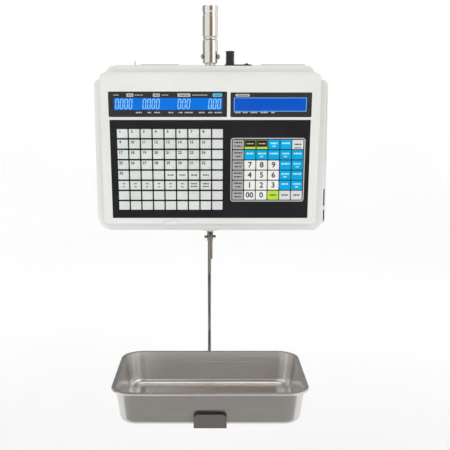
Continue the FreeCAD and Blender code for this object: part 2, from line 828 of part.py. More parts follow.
save("rear_cover", make_rear_cover())
save("top_vents", make_top_vents())
save("cover_screws", make_cover_screws())
save("customer_window", make_customer_window())
save("customer_lcd", box(-104, 104, 64, 69, -207, -165))
save("port_panel", make_port_panel())
save("port_sockets", make_port_sockets())
save("switch_bezel", make_switch_bezel())
save("power_rocker", make_power_rocker())
save("seal_stud", upright(1.6, -140.0, 0, crown_top, crown_top + 11).fuse(
    upright(2.6, -140.0, 0, crown_top, crown_top + 2)).removeSplitter())


# Cord outlet

def make_outlet_flange():
    """Oblong flange of the cord outlet."""
    left, right = outlet_flange
    corners = [(left, -outlet_half_depth, 4.0), (right, -outlet_half_depth, 4.0),
               (right, outlet_half_depth, 4.0), (left, outlet_half_depth, 4.0)]
    flange = plan_prism(corners, crown_top, outlet_flange_top)
    flange = flange.cut(upright(5.0, outlet_x, 0, crown_top - 1, outlet_flange_top + 1))
    return flange.cut(upright(1.8, outlet_screw_x, 0, crown_top - 1, outlet_flange_top + 1))


def make_outlet_sleeve():
    """Ribbed sleeve that the cord comes up through."""
    sleeve = upright(outlet_r, outlet_x, 0, outlet_flange_top, outlet_top)
    groove_count = 5
    for index in range(groove_count):
        z = outlet_flange_top + 4.0 + 3.8 * index
        sleeve = sleeve.cut(ring(outlet_r + 1, outlet_r - 1.0, outlet_x, 0, z, z + 1.6))
    return sleeve.cut(upright(outlet_bore_r, outlet_x, 0, outlet_flange_top - 1, outlet_top + 1))


def make_outlet_screw():
    """Domed screw that holds the flange down."""
    height = 3.0
    radius = 5.1
    dome_r = (radius * radius + height * height) / (2 * height)
    ball = Part.makeSphere(dome_r, V(outlet_screw_x, 0, outlet_flange_top + height - dome_r))
    head = ball.common(upright(radius, outlet_screw_x, 0, outlet_flange_top, outlet_flange_top + height))
    shank = upright(1.8, outlet_screw_x, 0, outlet_flange_top, crown_top - 6)
    return head.fuse(shank).removeSplitter()


save("cord_outlet_flange", make_outlet_flange())
save("cord_outlet_sleeve", make_outlet_sleeve())
save("cord_outlet_screw", make_outlet_screw())


# Electronics

board_front = 36.0
board_thickness = 1.6

def make_board_components():
    """Processor, memory, connectors and capacitors on the main board."""
    parts = [
        box(-172, -146, board_front - 2, board_front, -230, -204),
        box(-140, -126, board_front - 2, board_front, -226, -212),
        box(-194, -186, board_front - 9, board_front, -300, -250),
        box(-190, -126, board_front - 8, board_front, -382, -374),
        box(-140, -124, board_front - 14, board_front, -330, -310),
    ]
    for index in range(4):
        x = -182.0 + 16.0 * index
        parts.append(Part.makeCylinder(6, 14, V(x, board_front - 14, -350), Y_AXIS))
    return compound(parts)


def make_board_standoffs():
    """Pillars between the main board and the chassis."""
    pillars = []
    board_back = board_front + board_thickness
    for x in (-192.0, -126.0):
        for z in (-166.0, -388.0):
            start = V(x, board_back, z)
            pillars.append(Part.makeCylinder(3, back_plate_front - board_back, start, Y_AXIS))
    return compound(pillars)


def make_power_supply():
    """Vented steel case of the power supply."""
    case = box(94, 186, 4, back_plate_front, -232, -150)
    case = case.cut(box(95.2, 184.8, 5.2, back_plate_front - 1.2, -230.8, -151.2))
    for index in range(6):
        x = 104.0 + 13.0 * index
        case = case.cut(box(x, x + 5, 0, 6, -222, -160))
    return case


save("main_board", box(-198, -120, board_front, board_front + board_thickness, -394, -160))
save("board_components", make_board_components())
save("board_standoffs", make_board_standoffs())
save("power_supply", make_power_supply())


# Label printer

journal_r = 4.0
small_journal_r = 3.0
motor_x = platen_x - gear_module * (platen_teeth + pinion_teeth) / 2
motor_height = 24.0
rotor_r = 9.0

def make_printer_frame():
    """Two plates joined by a back web, with a raised plate for the motor."""
    corners = [(printer_left, -44, 6), (printer_right, -44, 6), (printer_right, back_plate_front, 0),
               (printer_left, back_plate_front, 0)]
    top = plan_prism(corners, printer_top, printer_top + printer_sheet)
    bottom = plan_prism(corners, printer_bottom, printer_bottom - printer_sheet)
    web = box(printer_left, 186, back_plate_front - 2, back_plate_front, printer_bottom, printer_top)
    motor_plate = box(motor_x - 20, motor_x + 6, -46, 4, gear_top + 1.5, gear_top + 3.5)
    leg = box(motor_x - 20, motor_x - 18, -40, 4, printer_top + printer_sheet, gear_top + 1.5)
    frame = top.fuse([bottom, web, motor_plate, leg])
    bearings = [
        (roll_x, roll_y, journal_r), (platen_x, platen_y, small_journal_r),
        (spool_x, spool_y, small_journal_r), (lever_x, lever_y, small_journal_r),
    ]
    for x, y, radius in bearings:
        frame = frame.cut(upright(radius + running_gap, x, y, printer_bottom - 5, printer_top + 4))
    return frame.cut(upright(4.0, motor_x, platen_y, gear_top + 1, gear_top + 5)).removeSplitter()


def spindle(x, y, journal, barrel_r, flange_r):
    """A shaft between the printer's plates, with a barrel and a flange at its foot."""
    shaft = upright(journal, x, y, printer_bottom - printer_sheet, printer_top + printer_sheet)
    barrel = upright(barrel_r, x, y, printer_bottom + 1.5, printer_top - 1.5)
    pieces = [barrel]
    if flange_r > barrel_r:
        pieces.append(upright(flange_r, x, y, printer_bottom + 1.5, printer_bottom + 3.0))
    return shaft.fuse(pieces).removeSplitter()


def make_label_roll():
    """Roll of labels on its cardboard core."""
    return ring(roll_r, core_r, roll_x, roll_y, roll_mid - roll_half_height + 2, roll_mid + roll_half_height)


def make_platen_shaft():
    """Rubber platen roller on its shaft, which carries the drive gear above the frame."""
    shaft = upright(small_journal_r, platen_x, platen_y, printer_bottom - printer_sheet, gear_top)
    barrel = upright(platen_r, platen_x, platen_y, printer_bottom + 1.5, printer_top - 1.5)
    return shaft.fuse(barrel).removeSplitter()


def make_head_lever():
    """Lever that lifts the thermal head."""
    low = printer_bottom - printer_sheet
    post = upright(small_journal_r, lever_x, lever_y, low, printer_top + printer_sheet)
    post = post.fuse(upright(4.5, lever_x, lever_y, printer_bottom + 1.5, printer_top - 1.5))
    arm = box(lever_x - 13, lever_x, lever_y - 2, lever_y + 2, -372, -350)
    return post.fuse(arm).removeSplitter()


def make_printer_motor():
    """Stepper motor on the raised plate."""
    low = gear_top + 3.5
    can = upright(14.0, motor_x, platen_y, low, low + motor_height)
    ear = box(motor_x - 19, motor_x, platen_y - 5, platen_y + 5, low, low + 2)
    bore = upright(2.0, motor_x, platen_y, low - 1, low + motor_height - 2)
    room = upright(rotor_r + 0.5, motor_x, platen_y, low + 3, low + motor_height - 3)
    return can.fuse(ear).cut(bore).cut(room).removeSplitter()


def make_motor_pinion():
    """Pinion on the motor's shaft, with the rotor that turns inside the motor."""
    teeth = gear(pinion_teeth, 0.0, motor_x, platen_y, gear_top - gear_thickness, gear_top, 0.5)
    plug = upright(1.0, motor_x, platen_y, gear_top - gear_thickness, gear_top)
    low = gear_top + 3.5
    shaft = upright(2.0 - running_gap, motor_x, platen_y, gear_top, low + motor_height - 2.5)
    rotor = upright(rotor_r, motor_x, platen_y, low + 3.5, low + motor_height - 3.5)
    return teeth.fuse([plug, shaft, rotor]).removeSplitter()


def make_thermal_head():
    """Ceramic print head on its metal carrier."""
    carrier = box(178, 202, -42, -38.5, -396, -336)
    ceramic = box(184, 196, -38.5, -35.4, -394, -338)
    foot = box(178, 202, -42, -38.5, printer_bottom, -396)
    return carrier.fuse([ceramic, foot]).removeSplitter()


save("printer_frame", make_printer_frame())
save("label_roll", make_label_roll())
save("roll_spindle", spindle(roll_x, roll_y, journal_r, core_r, 22.0))
save("platen_roller", make_platen_shaft())
gear_phase = math.pi + math.pi / platen_teeth
save("platen_gear", gear(platen_teeth, gear_phase, platen_x, platen_y, gear_top - gear_thickness, gear_top,
                         small_journal_r))
save("printer_motor", make_printer_motor())
save("motor_pinion", make_motor_pinion())
save("thermal_head", make_thermal_head())
save("takeup_spool", spindle(spool_x, spool_y, small_journal_r, 8.0, 14.0))
save("head_lever", make_head_lever())


# Printer door

latch_limits = (-26.0, -12.0, -266.0, -242.0)

def make_printer_door():
    """Right side panel with its hinge barrels."""
    strip = rear_body(0).cut(rear_body(shell_wall)).common(door_zone(0))
    barrels = []
    for z0, z1 in ((door_top, door_top - 26), (door_bottom, door_bottom + 26)):
        barrels.append(upright(hinge_barrel_r, hinge_x, hinge_y, z0, z1))
    door = strip.fuse(barrels)
    for z0, z1 in ((door_top, door_top - 26), (door_bottom, door_bottom + 26)):
        door = door.cut(upright(hinge_pin_r + running_gap, hinge_x, hinge_y, z0, z1))
    y0, y1, z0, z1 = latch_limits
    gap = 0.4
    return door.cut(box(200, 230, y0 - gap, y1 + gap, z0 - gap, z1 + gap)).removeSplitter()


def make_door_latch():
    """Push latch set in the door, with a wider back that keeps it in."""
    y0, y1, z0, z1 = latch_limits
    button = box(wing_right - shell_wall - 0.5, wing_right + 1.0, y0, y1, z0, z1)
    keeper = box(wing_right - shell_wall - 2.5, wing_right - shell_wall - 0.5, y0 - 3, y1 + 3, z0 - 3, z1 + 3)
    return button.fuse(keeper).removeSplitter()


def make_hinge_pins():
    """Two pins on which the door turns."""
    return compound([
        upright(hinge_pin_r, hinge_x, hinge_y, door_top + 10, door_top - 25),
        upright(hinge_pin_r, hinge_x, hinge_y, door_bottom + 25, door_bottom - 7),
    ])


save("printer_door", make_printer_door())
save("door_latch", make_door_latch())
save("door_hinge_pins", make_hinge_pins())


# Hook rod, arm and tray

def make_hook_rod():
    """Bent rod: a hook over the pin, a straight leg, a slope to the back and a leg behind the tray."""
    centre_z = pin_z - hook_drop
    turn = math.radians(hook_turn)
    across = V(-math.sin(turn), math.cos(turn), 0)
    main = V(across).multiply(hook_bend_r)
    back = V(across).multiply(-hook_bend_r)
    down = rod_back_y - main.y
    drop = rod_bend_z - rod_slope_bottom
    slope = V(0, down, -drop).normalize()
    bend_r = 28.0
    half_turn = slope.getAngle(V(0, 0, -1)) / 2
    reach = bend_r * math.tan(half_turn)
    upper = V(main.x, main.y, rod_bend_z)
    lower = V(main.x, rod_back_y, rod_slope_bottom)

    def bend(corner, before, after):
        start = corner.sub(V(before).multiply(reach))
        end = corner.add(V(after).multiply(reach))
        inward = V(after).sub(before).normalize()
        middle = corner.add(inward.multiply(bend_r / math.cos(half_turn) - bend_r))
        return start, Part.Arc(start, middle, end).toShape(), end

    start_one, arc_one, end_one = bend(upper, V(0, 0, -1), slope)
    start_two, arc_two, end_two = bend(lower, slope, V(0, 0, -1))
    tip = V(back.x, back.y, return_leg_bottom)
    loop_in = V(back.x, back.y, centre_z)
    loop_top = V(0, 0, centre_z + hook_bend_r)
    loop_out = V(main.x, main.y, centre_z)
    path = Part.Wire([
        Part.LineSegment(tip, loop_in).toShape(),
        Part.Arc(loop_in, loop_top, loop_out).toShape(),
        Part.LineSegment(loop_out, start_one).toShape(),
        arc_one,
        Part.LineSegment(end_one, start_two).toShape(),
        arc_two,
        Part.LineSegment(end_two, V(main.x, rod_back_y, arm_top)).toShape(),
    ])
    section = Part.Wire([Part.makeCircle(rod_r, tip, Z_AXIS)])
    rod = path.makePipeShell([section], True, False)
    cutter = box(-20, 20, -20, 20, -30, 0)
    cutter.rotate(V(0, 0, 0), Y_AXIS, -28)
    cutter.translate(V(tip.x, tip.y, return_leg_bottom + 1.9))
    keep_main = box(-20, 20, 2, 20, -600, -440)
    return rod.cut(cutter.cut(keep_main))


arm_front = tray_y - 120.5

def make_tray_arm():
    """Flat strip under the tray with a turned-up front lip."""
    low = arm_top - arm_thickness
    end = rod_back_y + 8
    inner_r = arm_bend_r - arm_thickness
    strip = side_prism([
        (arm_front, low, arm_bend_r), (end, low, 0), (end, arm_top, 0),
        (arm_front + arm_thickness, arm_top, inner_r), (arm_front + arm_thickness, lip_top, 0),
        (arm_front, lip_top, 0)], -arm_half_width, arm_half_width)
    outline = front_prism([
        (-arm_half_width, low, 0), (arm_half_width, low, 0),
        (arm_half_width, lip_top, lip_corner_r), (-arm_half_width, lip_top, lip_corner_r)],
        arm_front - 1, end + 1)
    return strip.common(outline).removeSplitter()


def make_lip_pad():
    """Rubber pad between the lip and the tray."""
    back = arm_front + arm_thickness
    foot = arm_top + arm_bend_r - arm_thickness
    corners = [
        (-arm_half_width, foot, 0), (arm_half_width, foot, 0),
        (arm_half_width, pad_top, lip_corner_r), (-arm_half_width, pad_top, lip_corner_r)]
    return front_prism(corners, back, back + pad_thickness)


def tray_wire(inset, drop, corner_r):
    """The tray's outline at a depth below the rim."""
    half_x = tray_half_width - tray_flange - inset
    half_y = tray_half_depth - tray_flange - inset
    corners = [(-half_x, tray_y - half_y, corner_r), (half_x, tray_y - half_y, corner_r),
               (half_x, tray_y + half_y, corner_r), (-half_x, tray_y + half_y, corner_r)]
    return rounded_wire(corners, lambda a, b: V(a, b, tray_rim_z - drop))


def tray_volume(wall):
    """The pan's outer or inner volume, with drafted sides and a rounded foot."""
    depth = tray_rim_z - tray_bottom - wall
    top = tray_wire(wall, -2.0 * (wall > 0), tray_rim_r - tray_flange - wall)
    draft = tray_draft
    bottom = tray_wire(draft + wall, depth, tray_rim_r - tray_flange - draft / 2 - wall)
    pan = Part.makeLoft([top, bottom], True, True)
    low = tray_rim_z - depth
    foot = [edge for edge in pan.Edges if abs(edge.BoundBox.ZMax - low) < 0.001]
    return pan.makeFillet(tray_foot_r - wall, foot)


def make_tray():
    """Pressed stainless pan with a flat rim and a turned-down edge."""
    pan = tray_volume(0)

    def rim_outline(inset):
        half_x = tray_half_width - inset
        half_y = tray_half_depth - inset
        radius = tray_rim_r - inset
        return [(-half_x, tray_y - half_y, radius), (half_x, tray_y - half_y, radius),
                (half_x, tray_y + half_y, radius), (-half_x, tray_y + half_y, radius)]

    rim = plan_prism(rim_outline(0), tray_rim_z - tray_rim_drop, tray_rim_z)
    upper = [edge for edge in rim.Edges if abs(edge.BoundBox.ZMin - tray_rim_z) < 0.001]
    rim = rim.makeFillet(2.2, upper)
    rim = rim.cut(plan_prism(rim_outline(1.8), tray_rim_z - 6, tray_rim_z - 1.2))
    return pan.fuse(rim).cut(tray_volume(tray_wall)).removeSplitter()


save("hook_rod", make_hook_rod())
save("tray_arm", make_tray_arm())
save("lip_pad", make_lip_pad())
save("tray", make_tray())
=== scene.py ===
import math

import bmesh
import bpy
from mathutils import Matrix, Vector


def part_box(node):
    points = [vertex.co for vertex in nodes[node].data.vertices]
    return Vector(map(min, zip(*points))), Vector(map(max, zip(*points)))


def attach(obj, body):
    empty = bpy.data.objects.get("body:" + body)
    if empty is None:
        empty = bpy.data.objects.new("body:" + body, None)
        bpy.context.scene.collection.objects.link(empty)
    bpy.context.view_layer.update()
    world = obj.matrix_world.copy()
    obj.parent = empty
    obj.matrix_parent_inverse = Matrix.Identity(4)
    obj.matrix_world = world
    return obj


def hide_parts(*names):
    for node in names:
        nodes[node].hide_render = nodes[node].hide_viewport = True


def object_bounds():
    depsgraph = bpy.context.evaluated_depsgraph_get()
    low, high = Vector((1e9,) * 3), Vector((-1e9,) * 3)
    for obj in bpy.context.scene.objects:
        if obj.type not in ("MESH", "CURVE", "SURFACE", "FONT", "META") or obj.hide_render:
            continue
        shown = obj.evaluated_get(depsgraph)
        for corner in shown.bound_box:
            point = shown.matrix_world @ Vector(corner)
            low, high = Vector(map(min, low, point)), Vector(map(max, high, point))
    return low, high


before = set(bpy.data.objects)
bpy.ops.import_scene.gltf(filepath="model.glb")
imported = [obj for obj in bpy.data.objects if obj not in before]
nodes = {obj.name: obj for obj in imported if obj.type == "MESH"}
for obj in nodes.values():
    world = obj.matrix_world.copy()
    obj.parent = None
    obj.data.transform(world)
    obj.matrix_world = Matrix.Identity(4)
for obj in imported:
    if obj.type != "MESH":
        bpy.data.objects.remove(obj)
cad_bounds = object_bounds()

# A hanging price scale around its CAD frame. All sizes are in metres.

MM = 0.001


# Flat faces that pieces are laid on: x runs across a face, s down it, and depth goes in behind it

class Face:
    """A flat face with its origin and its directions."""

    def __init__(self, origin, across, down):
        self.origin = origin
        self.across = across
        self.down = down
        self.inward = across.cross(down)

    def at(self, x, s, depth):
        """A point on the face."""
        return self.origin + self.across * x + self.down * s + self.inward * depth

    def turn(self):
        """The rotation that lays upright lettering on the face."""
        return Matrix((self.across, -self.down, -self.inward)).transposed().to_4x4()

    def span(self, node, front, back):
        """The x and s limits of a slab node that lies on the face between two depths."""
        low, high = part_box(node)
        start = self.origin + self.inward * back
        finish = self.origin + self.inward * front
        top = (start.z - high.z) / -self.down.z
        bottom = (finish.z - low.z) / -self.down.z
        return low.x, high.x, top, bottom


FACE_TILT = math.radians(7.0)
SKIN_FRONT = 0.2 * MM
SKIN_BACK = 1.0 * MM
KEYBOARD_TOP = -0.9 * MM
KEY_PROUD = 0.5 * MM


def front_face():
    """The head's front face. Its origin is just below the keyboard overlay's top edge."""
    low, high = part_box("keyboard_panel")
    down = Vector((0.0, math.sin(FACE_TILT), -math.cos(FACE_TILT)))
    face = Face(Vector((0.0, 0.0, 0.0)), Vector((1.0, 0.0, 0.0)), down)
    corner = face.at(0, KEYBOARD_TOP, SKIN_FRONT)
    rear_corner = face.at(0, KEYBOARD_TOP, SKIN_BACK)
    face.origin = Vector((0.0, low.y - corner.y, high.z - rear_corner.z))
    return face


def rear_face():
    """The customer's side of the head, read from behind."""
    low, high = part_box("customer_window")
    return Face(Vector((0.0, high.y, high.z)), Vector((-1.0, 0.0, 0.0)), Vector((0.0, 0.0, -1.0)))


FRONT = front_face()
REAR = rear_face()


# Node materials

class Shader:
    """A material whose Principled shader is fed by a few procedural nodes."""

    def __init__(self, name):
        self.material = bpy.data.materials.new(name)
        self.material.use_nodes = True
        self.tree = self.material.node_tree
        self.surface = self.tree.nodes["Principled BSDF"]
        self.place = self.node("ShaderNodeNewGeometry").outputs["Position"]

    def node(self, kind, **settings):
        made = self.tree.nodes.new(kind)
        for key, value in settings.items():
            setattr(made, key, value)
        return made

    def link(self, source, target):
        self.tree.links.new(source, target)
        return self

    def set(self, **values):
        for key, value in values.items():
            socket = self.surface.inputs[key.replace("_", " ")]
            socket.default_value = value
        return self

    def stretched(self, scale):
        """Positions scaled by a different amount along each axis."""
        mapping = self.node("ShaderNodeMapping")
        mapping.inputs["Scale"].default_value = scale
        self.link(self.place, mapping.inputs["Vector"])
        return mapping.outputs["Vector"]

    def noise(self, scale, detail=2.0, stretch=(1, 1, 1)):
        texture = self.node("ShaderNodeTexNoise")
        texture.inputs["Scale"].default_value = scale
        texture.inputs["Detail"].default_value = detail
        self.link(self.stretched(stretch), texture.inputs["Vector"])
        return texture.outputs["Fac"]

    def ramp(self, source, stops):
        ramp = self.node("ShaderNodeValToRGB")
        elements = ramp.color_ramp.elements
        elements[0].position, elements[0].color = stops[0]
        elements[1].position, elements[1].color = stops[-1]
        for position, colour in stops[1:-1]:
            elements.new(position).color = colour
        self.link(source, ramp.inputs["Fac"])
        return ramp.outputs["Color"]

    def mottled(self, source, colour, darker, lighter, start=0.3, end=0.7):
        """A colour that drifts between a darker and a lighter shade of itself."""
        return self.ramp(source, [(start, shade(colour, darker)), (end, shade(colour, lighter))])

    def spread(self, source, low, high, start=0.0, end=1.0):
        """Map a value between two ends into a range."""
        spread = self.node("ShaderNodeMapRange")
        spread.inputs["From Min"].default_value = start
        spread.inputs["From Max"].default_value = end
        spread.inputs["To Min"].default_value = low
        spread.inputs["To Max"].default_value = high
        self.link(source, spread.inputs["Value"])
        return spread.outputs["Result"]

    def reach(self, near, far, low, high):
        """A value that grows with the distance from the origin."""
        length = self.node("ShaderNodeVectorMath", operation="LENGTH")
        self.link(self.place, length.inputs[0])
        return self.spread(length.outputs["Value"], low, high, near, far)

    def bump(self, source, distance, strength=1.0):
        bump = self.node("ShaderNodeBump")
        bump.inputs["Distance"].default_value = distance
        bump.inputs["Strength"].default_value = strength
        self.link(source, bump.inputs["Height"])
        self.link(bump.outputs["Normal"], self.surface.inputs["Normal"])
        return self

    def colour(self, output):
        return self.link(output, self.surface.inputs["Base Color"])

    def roughness(self, output):
        return self.link(output, self.surface.inputs["Roughness"])


def rgba(red, green, blue):
    return (red, green, blue, 1.0)


def shade(colour, factor):
    return rgba(*(channel * factor for channel in colour))


def moulded(name, colour, rough=0.45, grain=0.00004, variation=0.04, coat=0.0):
    """Moulded plastic with a fine spark-eroded grain and slight, broad colour variation."""
    shader = Shader(name)
    broad = shader.noise(9.0, 3.0)
    shader.colour(shader.mottled(broad, colour, 1 - variation, 1 + variation / 2))
    fine = shader.noise(1400.0, 2.0)
    shader.roughness(shader.spread(broad, rough - 0.04, rough + 0.05))
    shader.bump(fine, grain, 0.6)
    return shader.set(Coat_Weight=coat).material


def brushed(name, colour, rough, stretch, grain=0.00002, variation=0.12, metallic=1.0):
    """Metal with a directional grain."""
    shader = Shader(name)
    shader.set(Metallic=metallic)
    lines = shader.noise(60.0, 4.0, stretch)
    broad = shader.noise(14.0, 3.0)
    shader.colour(shader.mottled(broad, colour, 1 - variation, 1 + variation / 2, 0.25, 0.75))
    shader.roughness(shader.spread(lines, rough * 0.75, rough * 1.3))
    shader.bump(lines, grain, 0.5)
    return shader.material


def film(name, colour, rough=0.35, variation=0.05, gloss=0.3):
    """Printed polyester film with a faint orange-peel surface."""
    shader = Shader(name)
    broad = shader.noise(22.0, 2.0)
    shader.colour(shader.mottled(broad, colour, 1 - variation, 1 + variation))
    shader.roughness(shader.spread(shader.noise(260.0, 1.0), rough - 0.05, rough + 0.06))
    shader.bump(shader.noise(900.0, 1.0), 0.00001, 0.5)
    return shader.set(Specular_IOR_Level=gloss).material


def glowing(name, colour, strength, variation=0.05):
    """A backlit display layer."""
    shader = Shader(name)
    broad = shader.noise(30.0, 1.0)
    tint = shader.mottled(broad, colour, 1 - variation, 1 + variation)
    shader.colour(shader.mottled(broad, colour, 0.10, 0.14))
    shader.link(tint, shader.surface.inputs["Emission Color"])
    return shader.set(Emission_Strength=strength, Roughness=0.3, Specular_IOR_Level=0.1).material


HOUSING = moulded("housing_plastic", (0.80, 0.80, 0.77), rough=0.42)
BLACK_PLASTIC = moulded("black_plastic", (0.022, 0.023, 0.022), rough=0.5, variation=0.2)
GEAR_PLASTIC = moulded("acetal_plastic", (0.72, 0.71, 0.64), rough=0.4)
LEVER_GREEN = moulded("green_plastic", (0.03, 0.30, 0.12), rough=0.4)
BOARD_GREEN = moulded("solder_mask", (0.02, 0.16, 0.06), rough=0.35, variation=0.2)
PAPER = moulded("label_paper", (0.82, 0.82, 0.79), rough=0.75)
RUBBER = moulded("rubber", (0.012, 0.012, 0.012), rough=0.75, grain=0.00008, variation=0.3)
NICKEL = brushed("nickel_plate", (0.74, 0.71, 0.67), 0.13, (0.3, 0.3, 6.0), variation=0.08)
YELLOW_ZINC = brushed("yellow_zinc", (0.62, 0.50, 0.32), 0.3, (1, 1, 1), variation=0.25)
BLUE_ZINC = brushed("blue_zinc", (0.62, 0.74, 0.84), 0.3, (1, 1, 1), variation=0.15)
BRONZE = brushed("bronze", (0.52, 0.36, 0.18), 0.4, (1, 1, 1))
SHEET_STEEL = brushed("galvanised_steel", (0.58, 0.60, 0.61), 0.42, (1, 1, 1), variation=0.2)
ALUMINIUM = brushed("machined_aluminium", (0.74, 0.75, 0.76), 0.33, (8.0, 0.4, 0.4))
ROD_STEEL = brushed("bright_rod", (0.21, 0.19, 0.17), 0.24, (6.0, 6.0, 0.3))
STAINLESS = brushed("satin_stainless", (0.68, 0.66, 0.635), 0.24, (0.08, 24.0, 24.0),
                    grain=0.000004, variation=0.05, metallic=0.92)
LIP_STEEL = brushed("satin_strip", (0.215, 0.205, 0.195), 0.36, (0.08, 24.0, 24.0),
                    grain=0.000004, variation=0.06, metallic=0.7)
OVERLAY = film("black_overlay", (0.0115, 0.0115, 0.0135), 0.4, 0.15, gloss=0.16)
WINDOW_BLACK = film("black_window_film", (0.016, 0.018, 0.021), 0.16, 0.15)
KEY_SHEET = film("key_sheet_film", (0.75, 0.78, 0.73), 0.4)
SPEED_KEY = film("speed_key_film", (0.70, 0.74, 0.70), 0.36)
NUMBER_KEY = film("number_key_film", (0.84, 0.84, 0.82), 0.36)
BLUE_KEY = film("blue_key_film", (0.002, 0.40, 0.76), 0.42, gloss=0.06)
LIME_KEY = film("lime_key_film", (0.50, 0.74, 0.04), 0.36)
OLIVE_KEY = film("olive_key_film", (0.17, 0.21, 0.045), 0.36)
GREY_KEY = film("grey_key_film", (0.40, 0.41, 0.39), 0.36)
PALE_KEY = film("pale_key_film", (0.70, 0.71, 0.70), 0.36)
LEGEND_PALE = film("pale_legend_ink", (0.50, 0.84, 0.95), 0.4)
LEGEND_DARK = film("dark_legend_ink", (0.035, 0.037, 0.04), 0.4)
LEGEND_OLIVE = film("olive_legend_ink", (0.50, 0.53, 0.36), 0.4)
LEGEND_GREY = film("grey_legend_ink", (0.42, 0.43, 0.42), 0.4)
CAPTION_GREY = film("caption_grey_ink", (0.48, 0.49, 0.47), 0.4)
CAPTION_CYAN = film("caption_cyan_ink", (0.10, 0.55, 0.74), 0.4)
MARK_WHITE = film("mark_white_ink", (0.52, 0.53, 0.54), 0.4)
LCD_BLUE = glowing("lcd_blue", (0.0015, 0.178, 0.76), 0.85)
LCD_DEEP = glowing("lcd_deep_blue", (0.0009, 0.093, 0.578), 0.85)
LCD_SEGMENT = glowing("lcd_segment", (0.30, 0.68, 0.95), 0.95)
LCD_EDGE = glowing("lcd_edge", (0.16, 0.38, 0.78), 0.85)


# Materials of the CAD nodes that stay in view

NODE_MATERIALS = {
    HOUSING: ["front_cover", "rear_cover", "underside_boss", "printer_door", "door_latch"],
    BLACK_PLASTIC: ["top_vents", "board_components", "cord_outlet_flange", "cord_outlet_sleeve",
                    "cord_outlet_screw", "port_sockets", "switch_bezel", "power_rocker"],
    NICKEL: ["hanger_tube"],
    YELLOW_ZINC: ["hanger_bolt", "hanger_nut"],
    BLUE_ZINC: ["swivel_stub", "swivel_nut", "thrust_washer", "load_cell_bolts", "cover_screws",
                "board_standoffs", "seal_stud", "door_hinge_pins"],
    BRONZE: ["swivel_bush"],
    SHEET_STEEL: ["chassis", "load_bracket", "keyboard_backplate", "power_supply", "printer_frame",
                  "printer_motor", "motor_pinion", "port_panel"],
    ALUMINIUM: ["load_cell", "thermal_head"],
    ROD_STEEL: ["hook_fork", "hook_pin", "hook_rod"],
    STAINLESS: ["tray"],
    LIP_STEEL: ["tray_arm"],
    RUBBER: ["lip_pad", "platen_roller"],
    GEAR_PLASTIC: ["roll_spindle", "platen_gear", "takeup_spool"],
    LEVER_GREEN: ["head_lever"],
    BOARD_GREEN: ["display_board", "main_board"],
    PAPER: ["label_roll"],
    OVERLAY: ["keyboard_panel"],
    KEY_SHEET: ["speed_key_sheet"],
    LCD_BLUE: ["weight_lcd", "customer_lcd"],
    LCD_DEEP: ["alpha_lcd"],
}


NODE_SHARP_ANGLE = math.radians(28)
PIECE_SHARP_ANGLE = math.radians(35)


def paint(node, material):
    """Give a CAD node one material and smooth shading between its sharp edges."""
    mesh = nodes[node].data
    mesh.materials.clear()
    mesh.materials.append(material)
    for polygon in mesh.polygons:
        polygon.material_index = 0
        polygon.use_smooth = True
    mesh.set_sharp_from_angle(angle=NODE_SHARP_ANGLE)


for material, painted in NODE_MATERIALS.items():
    for node in painted:
        paint(node, material)


# Mesh helpers

def new_object(name, mesh, material, body="head"):
    piece = bpy.data.objects.new(name, mesh)
    bpy.context.scene.collection.objects.link(piece)
    mesh.materials.append(material)
    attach(piece, body)
    return piece


def finish_mesh(bm, name, smooth=True):
    bmesh.ops.recalc_face_normals(bm, faces=bm.faces)
    mesh = bpy.data.meshes.new(name)
    bm.to_mesh(mesh)
    bm.free()
    if smooth:
        for polygon in mesh.polygons:
            polygon.use_smooth = True
        mesh.set_sharp_from_angle(angle=PIECE_SHARP_ANGLE)
    return mesh


def rounded_outline(limits, inset, radius, steps=4):
    """Points round a rounded rectangle."""
    left, right, top, bottom = limits
    left, right, top, bottom = left + inset, right - inset, top + inset, bottom - inset
    points = []
    corners = [(right - radius, top + radius, -90), (right - radius, bottom - radius, 0),
               (left + radius, bottom - radius, 90), (left + radius, top + radius, 180)]
    for cx, cs, start in corners:
        for step in range(steps + 1):
            angle = math.radians(start + 90 * step / steps)
            points.append((cx + radius * math.cos(angle), cs + radius * math.sin(angle)))
    return points


def skin_rings(bm, rings, closed_loop):
    """Join rings of points with faces. A closed loop also joins the last ring to the first."""
    pairs = list(zip(rings, rings[1:]))
    if closed_loop:
        pairs.append((rings[-1], rings[0]))
    for lower, upper in pairs:
        count = len(lower)
        for index in range(count):
            after = (index + 1) % count
            bm.faces.new((lower[index], lower[after], upper[after], upper[index]))


def ring_of(bm, face, limits, inset, radius, depth):
    outline = rounded_outline(limits, inset, max(radius - inset, 0.15 * MM))
    return [bm.verts.new(face.at(x, s, depth)) for x, s in outline]


def add_pad(bm, face, limits, radius, front, back, edge):
    """A raised field with a rounded front edge."""
    profile = [(0.0, back), (0.0, front + edge), (edge * 0.3, front + edge * 0.3), (edge, front)]
    rings = [ring_of(bm, face, limits, inset, radius, depth) for inset, depth in profile]
    skin_rings(bm, rings, closed_loop=False)
    bm.faces.new(rings[-1])
    bm.faces.new(list(reversed(rings[0])))


def pads(name, cells, radius, front, back, material, face=FRONT, edge=0.35 * MM):
    """One piece made of raised fields on a face."""
    bm = bmesh.new()
    for limits in cells:
        add_pad(bm, face, limits, radius, front, back, edge)
    return new_object(name, finish_mesh(bm, name), material)


